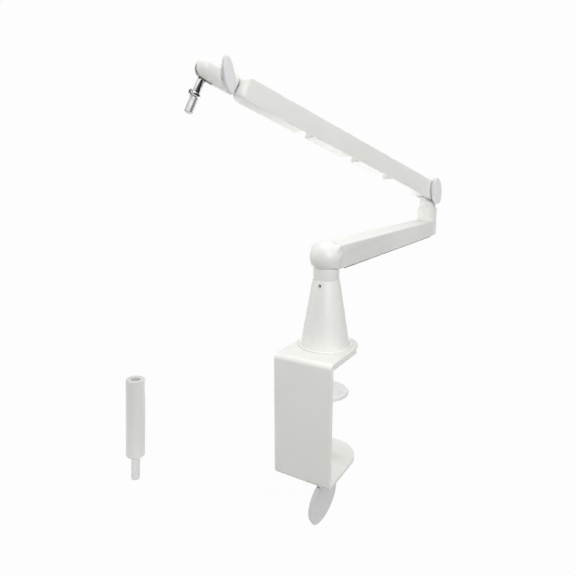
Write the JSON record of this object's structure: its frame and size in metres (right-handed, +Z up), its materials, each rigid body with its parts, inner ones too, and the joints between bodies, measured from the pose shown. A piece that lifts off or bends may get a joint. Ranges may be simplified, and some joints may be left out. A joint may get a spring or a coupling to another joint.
{
  "type": "microphone boom arm",
  "caption": "White desk-clamp microphone boom arm with swivel base, tilting elbow, clip-on cable covers and a chrome microphone stud.",
  "frame": {"origin": "on the base swivel's axis, in the plane of the desk top that the clamp's pad rests on", "axes": "+Z up, +Y from the clamp's back plate into the desk, +X to the right when facing the desk"},
  "size_m": [0.3267, 0.4128, 0.5377],
  "materials": {
    "white_steel": "satin white powder coat",
    "white_alloy": "satin white powder coat",
    "white_plastic": "fine matt",
    "grey_plastic": "fine matt",
    "pale_rubber": "matt",
    "steel": "zinc plated",
    "brass": "turned",
    "chrome": "polished",
    "satin_metal": "satin nickel",
    "bearing_plastic": "smooth"
  },
  "bodies": {
    "clamp": {"clamp_bracket": "white_steel", "desk_pad": "pale_rubber", "screw_bush": "brass", "base_ring": "white_steel", "base_cone": "white_alloy", "base_fixing_screw_1": "steel", "base_fixing_screw_2": "steel", "base_fixing_screw_3": "steel", "base_lower_bush": "bearing_plastic", "base_upper_bush": "bearing_plastic", "base_set_screw": "steel"},
    "pressure_foot": {"pressure_pad": "white_plastic", "pressure_pad_face": "pale_rubber"},
    "screw": {"clamp_screw": "steel", "pad_retaining_screw": "steel", "handle_pin": "steel"},
    "handle": {"clamp_handle": "grey_plastic"},
    "lower_arm": {"lower_arm_post": "white_alloy", "post_bolt": "steel", "lower_arm_tube": "white_alloy", "lower_arm_base_end": "white_alloy", "lower_arm_elbow_end": "white_alloy", "elbow_bottom_plug": "white_plastic", "elbow_lower_bush": "bearing_plastic", "elbow_upper_bush": "bearing_plastic", "elbow_sleeve": "white_alloy", "lower_cover_1": "white_plastic", "lower_cover_2": "white_plastic", "lower_cover_3": "white_plastic"},
    "yoke": {"elbow_yoke": "white_alloy", "elbow_nut": "steel", "elbow_washer": "steel"},
    "upper_arm": {"upper_arm_tube": "white_alloy", "upper_arm_fork": "white_alloy", "upper_arm_head_end": "white_alloy", "fork_screw": "steel", "head_end_screw": "steel", "elbow_bolt": "steel", "elbow_friction_washer_1": "bearing_plastic", "elbow_friction_washer_2": "bearing_plastic", "head_swivel_shaft": "steel", "head_washer": "bearing_plastic"},
    "cover_1": {"cable_cover_1": "white_plastic"},
    "cover_2": {"cable_cover_2": "white_plastic"},
    "cover_3": {"cable_cover_3": "white_plastic"},
    "cover_4": {"cable_cover_4": "white_plastic"},
    "elbow_clamp_knob": {"elbow_knob": "white_plastic", "elbow_knob_insert": "brass"},
    "head": {"head_housing": "white_alloy", "head_lock_insert": "brass"},
    "head_clamp_knob": {"head_knob": "white_plastic", "head_lock_screw": "steel"},
    "stud": {"mic_stud": "chrome", "stud_pivot_pin": "steel", "mic_thread_tip": "satin_metal"},
    "lock_ring": {"mic_lock_ring": "chrome"},
    "riser": {"riser_tube": "white_alloy", "riser_spigot": "white_alloy"}
  },
  "joints": [
    {"name": "clamp_travel", "type": "slide", "parent": "clamp", "child": "pressure_foot", "axis": [0, 0, 1], "range_m": [-0.055, 0.0165]},
    {"name": "screw_turn", "type": "hinge", "parent": "pressure_foot", "child": "screw", "pos_m": [0, 0, -0.06], "axis": [0, 0, 1], "range_deg": [-13210, 3970]},
    {"name": "handle_fold", "type": "hinge", "parent": "screw", "child": "handle", "pos_m": [0, 0, -0.1665], "axis": [-0.829, 0.5592, 0], "range_deg": [-112, 2]},
    {"name": "base_swivel", "type": "hinge", "parent": "clamp", "child": "lower_arm", "pos_m": [0, 0, 0.06], "axis": [0, 0, 1], "range_deg": [-180, 180]},
    {"name": "elbow_swivel", "type": "hinge", "parent": "lower_arm", "child": "yoke", "pos_m": [0, 0.351, 0.11], "axis": [0, 0, 1], "range_deg": [-180, 180]},
    {"name": "elbow_tilt", "type": "hinge", "parent": "yoke", "child": "upper_arm", "pos_m": [-0.00135, 0.34854, 0.1517], "axis": [-0.8771, 0.4802, 0], "range_deg": [-25, 60]},
    {"name": "cover_1_lift", "type": "slide", "parent": "upper_arm", "child": "cover_1", "axis": [-0.1705, -0.3115, -0.9348], "range_m": [0, 0.01]},
    {"name": "cover_2_lift", "type": "slide", "parent": "upper_arm", "child": "cover_2", "axis": [-0.1705, -0.3115, -0.9348], "range_m": [0, 0.01]},
    {"name": "cover_3_lift", "type": "slide", "parent": "upper_arm", "child": "cover_3", "axis": [-0.1705, -0.3115, -0.9348], "range_m": [0, 0.01]},
    {"name": "cover_4_lift", "type": "slide", "parent": "upper_arm", "child": "cover_4", "axis": [-0.1705, -0.3115, -0.9348], "range_m": [0, 0.01]},
    {"name": "elbow_knob_turn", "type": "hinge", "parent": "upper_arm", "child": "elbow_clamp_knob", "pos_m": [0.01181, 0.34134, 0.1517], "axis": [0.8771, -0.4802, 0], "range_deg": [-180, 180]},
    {"name": "head_twist", "type": "hinge", "parent": "upper_arm", "child": "head", "pos_m": [-0.15521, 0.0675, 0.27341], "axis": [-0.4489, -0.82, 0.3551], "range_deg": [-170, 170]},
    {"name": "head_knob_turn", "type": "hinge", "parent": "head", "child": "head_clamp_knob", "pos_m": [-0.14924, 0.04717, 0.27909], "axis": [0.8771, -0.4802, 0], "range_deg": [-180, 180]},
    {"name": "stud_tilt", "type": "hinge", "parent": "head", "child": "stud", "pos_m": [-0.17173, 0.03732, 0.28648], "axis": [-0.8771, 0.4802, 0], "range_deg": [-4, 120]},
    {"name": "lock_ring_turn", "type": "hinge", "parent": "stud", "child": "lock_ring", "pos_m": [-0.17822, 0.02547, 0.25803], "axis": [-0.206, -0.3762, -0.9033], "continuous": true},
    {"name": "riser_lift", "type": "slide", "parent": "clamp", "child": "riser", "axis": [0.0444, 0.0501, 0.9978], "range_m": [0, 0.05]}
  ],
  "couplings": [
    {"joint": "screw_turn", "follows": "clamp_travel", "rad_per_m": 4188.8}
  ]
}
